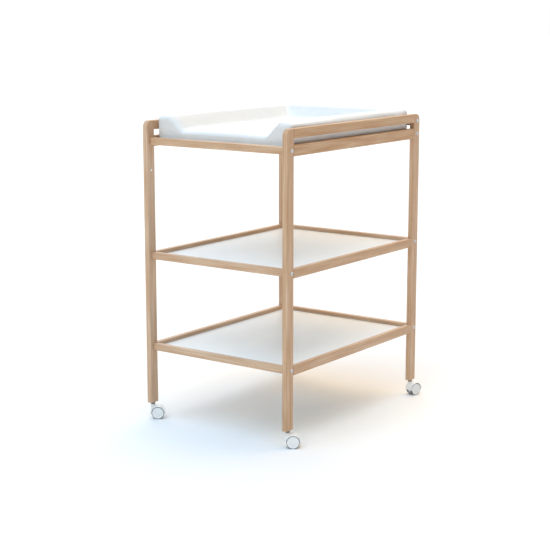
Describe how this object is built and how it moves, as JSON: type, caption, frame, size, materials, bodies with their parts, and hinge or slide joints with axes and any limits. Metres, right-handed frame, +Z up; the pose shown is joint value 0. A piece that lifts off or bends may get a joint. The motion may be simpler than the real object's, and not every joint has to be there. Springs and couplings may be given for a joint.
{
  "type": "changing table",
  "caption": "Open beech changing table on swivel castors, with a padded mat in a raised tray and white shelves below.",
  "frame": {"origin": "on the floor, under the middle of the four posts", "axes": "+Z up, +X to the right of the person who stands at the open front, +Y towards the back guard rail"},
  "size_m": [0.6098, 0.7761, 0.9626],
  "materials": {
    "beech": "satin clear varnish on planed beech",
    "white_board": "smooth white melamine-faced board",
    "mat_cover": "soft white PVC-coated cloth, satin",
    "mat_foam": "open-cell foam",
    "steel": "bright zinc plating",
    "castor_white": "moulded white nylon",
    "castor_wheel": "moulded white plastic wheel with a pale grey soft tread"
  },
  "bodies": {
    "frame": {"post_front_left": "beech", "post_front_right": "beech", "post_back_left": "beech", "post_back_right": "beech", "side_rail_upper_left": "beech", "side_rail_upper_right": "beech", "side_rail_tray_left": "beech", "side_rail_tray_right": "beech", "side_rail_mid_left": "beech", "side_rail_mid_right": "beech", "side_rail_low_left": "beech", "side_rail_low_right": "beech", "cross_rail_tray_front": "beech", "cross_rail_tray_back": "beech", "cross_rail_upper_back": "beech", "cross_rail_mid_front": "beech", "cross_rail_mid_back": "beech", "cross_rail_low_front": "beech", "cross_rail_low_back": "beech", "tray_floor_panel": "white_board", "mid_shelf_panel": "white_board", "low_shelf_panel": "white_board", "screw_tray_front_left": "steel", "screw_tray_front_right": "steel", "screw_tray_back_left": "steel", "screw_tray_back_right": "steel", "screw_upper_back_left": "steel", "screw_upper_back_right": "steel", "screw_mid_front_left": "steel", "screw_mid_front_right": "steel", "screw_mid_back_left": "steel", "screw_mid_back_right": "steel", "screw_low_front_left": "steel", "screw_low_front_right": "steel", "screw_low_back_left": "steel", "screw_low_back_right": "steel", "castor_front_left_stem": "steel", "castor_front_right_stem": "steel", "castor_back_left_stem": "steel", "castor_back_right_stem": "steel"},
    "mat": {"mat_cover": "mat_cover", "mat_core": "mat_foam"},
    "castor_front_left": {"castor_front_left_hood": "castor_white", "castor_front_left_axle": "steel"},
    "castor_front_left_wheel_a": {"castor_front_left_wheel_a": "castor_wheel"},
    "castor_front_left_wheel_b": {"castor_front_left_wheel_b": "castor_wheel"},
    "castor_front_right": {"castor_front_right_hood": "castor_white", "castor_front_right_axle": "steel"},
    "castor_front_right_wheel_a": {"castor_front_right_wheel_a": "castor_wheel"},
    "castor_front_right_wheel_b": {"castor_front_right_wheel_b": "castor_wheel"},
    "castor_back_left": {"castor_back_left_hood": "castor_white", "castor_back_left_axle": "steel"},
    "castor_back_left_wheel_a": {"castor_back_left_wheel_a": "castor_wheel"},
    "castor_back_left_wheel_b": {"castor_back_left_wheel_b": "castor_wheel"},
    "castor_back_right": {"castor_back_right_hood": "castor_white", "castor_back_right_axle": "steel"},
    "castor_back_right_wheel_a": {"castor_back_right_wheel_a": "castor_wheel"},
    "castor_back_right_wheel_b": {"castor_back_right_wheel_b": "castor_wheel"}
  },
  "joints": [
    {"name": "mat_lift", "type": "slide", "parent": "frame", "child": "mat", "axis": [0, 0, 1], "range_m": [0, 0.3]},
    {"name": "swivel_front_left", "type": "hinge", "parent": "frame", "child": "castor_front_left", "pos_m": [-0.2635, -0.3585, 0.045], "axis": [0, 0, 1], "continuous": true},
    {"name": "spin_front_left_a", "type": "hinge", "parent": "castor_front_left", "child": "castor_front_left_wheel_a", "pos_m": [-0.25052, -0.34914, 0.02], "axis": [-0.585, 0.8111, 0], "continuous": true},
    {"name": "spin_front_left_b", "type": "hinge", "parent": "castor_front_left", "child": "castor_front_left_wheel_b", "pos_m": [-0.25052, -0.34914, 0.02], "axis": [-0.585, 0.8111, 0], "continuous": true},
    {"name": "swivel_front_right", "type": "hinge", "parent": "frame", "child": "castor_front_right", "pos_m": [0.2635, -0.3585, 0.045], "axis": [0, 0, 1], "continuous": true},
    {"name": "spin_front_right_a", "type": "hinge", "parent": "castor_front_right", "child": "castor_front_right_wheel_a", "pos_m": [0.27648, -0.34914, 0.02], "axis": [-0.585, 0.8111, 0], "continuous": true},
    {"name": "spin_front_right_b", "type": "hinge", "parent": "castor_front_right", "child": "castor_front_right_wheel_b", "pos_m": [0.27648, -0.34914, 0.02], "axis": [-0.585, 0.8111, 0], "continuous": true},
    {"name": "swivel_back_left", "type": "hinge", "parent": "frame", "child": "castor_back_left", "pos_m": [-0.2635, 0.3585, 0.045], "axis": [0, 0, 1], "continuous": true},
    {"name": "spin_back_left_a", "type": "hinge", "parent": "castor_back_left", "child": "castor_back_left_wheel_a", "pos_m": [-0.27763, 0.36601, 0.02], "axis": [-0.4695, -0.8829, 0], "continuous": true},
    {"name": "spin_back_left_b", "type": "hinge", "parent": "castor_back_left", "child": "castor_back_left_wheel_b", "pos_m": [-0.27763, 0.36601, 0.02], "axis": [-0.4695, -0.8829, 0], "continuous": true},
    {"name": "swivel_back_right", "type": "hinge", "parent": "frame", "child": "castor_back_right", "pos_m": [0.2635, 0.3585, 0.045], "axis": [0, 0, 1], "continuous": true},
    {"name": "spin_back_right_a", "type": "hinge", "parent": "castor_back_right", "child": "castor_back_right_wheel_a", "pos_m": [0.26844, 0.37372, 0.02], "axis": [-0.9511, 0.309, 0], "continuous": true},
    {"name": "spin_back_right_b", "type": "hinge", "parent": "castor_back_right", "child": "castor_back_right_wheel_b", "pos_m": [0.26844, 0.37372, 0.02], "axis": [-0.9511, 0.309, 0], "continuous": true}
  ]
}
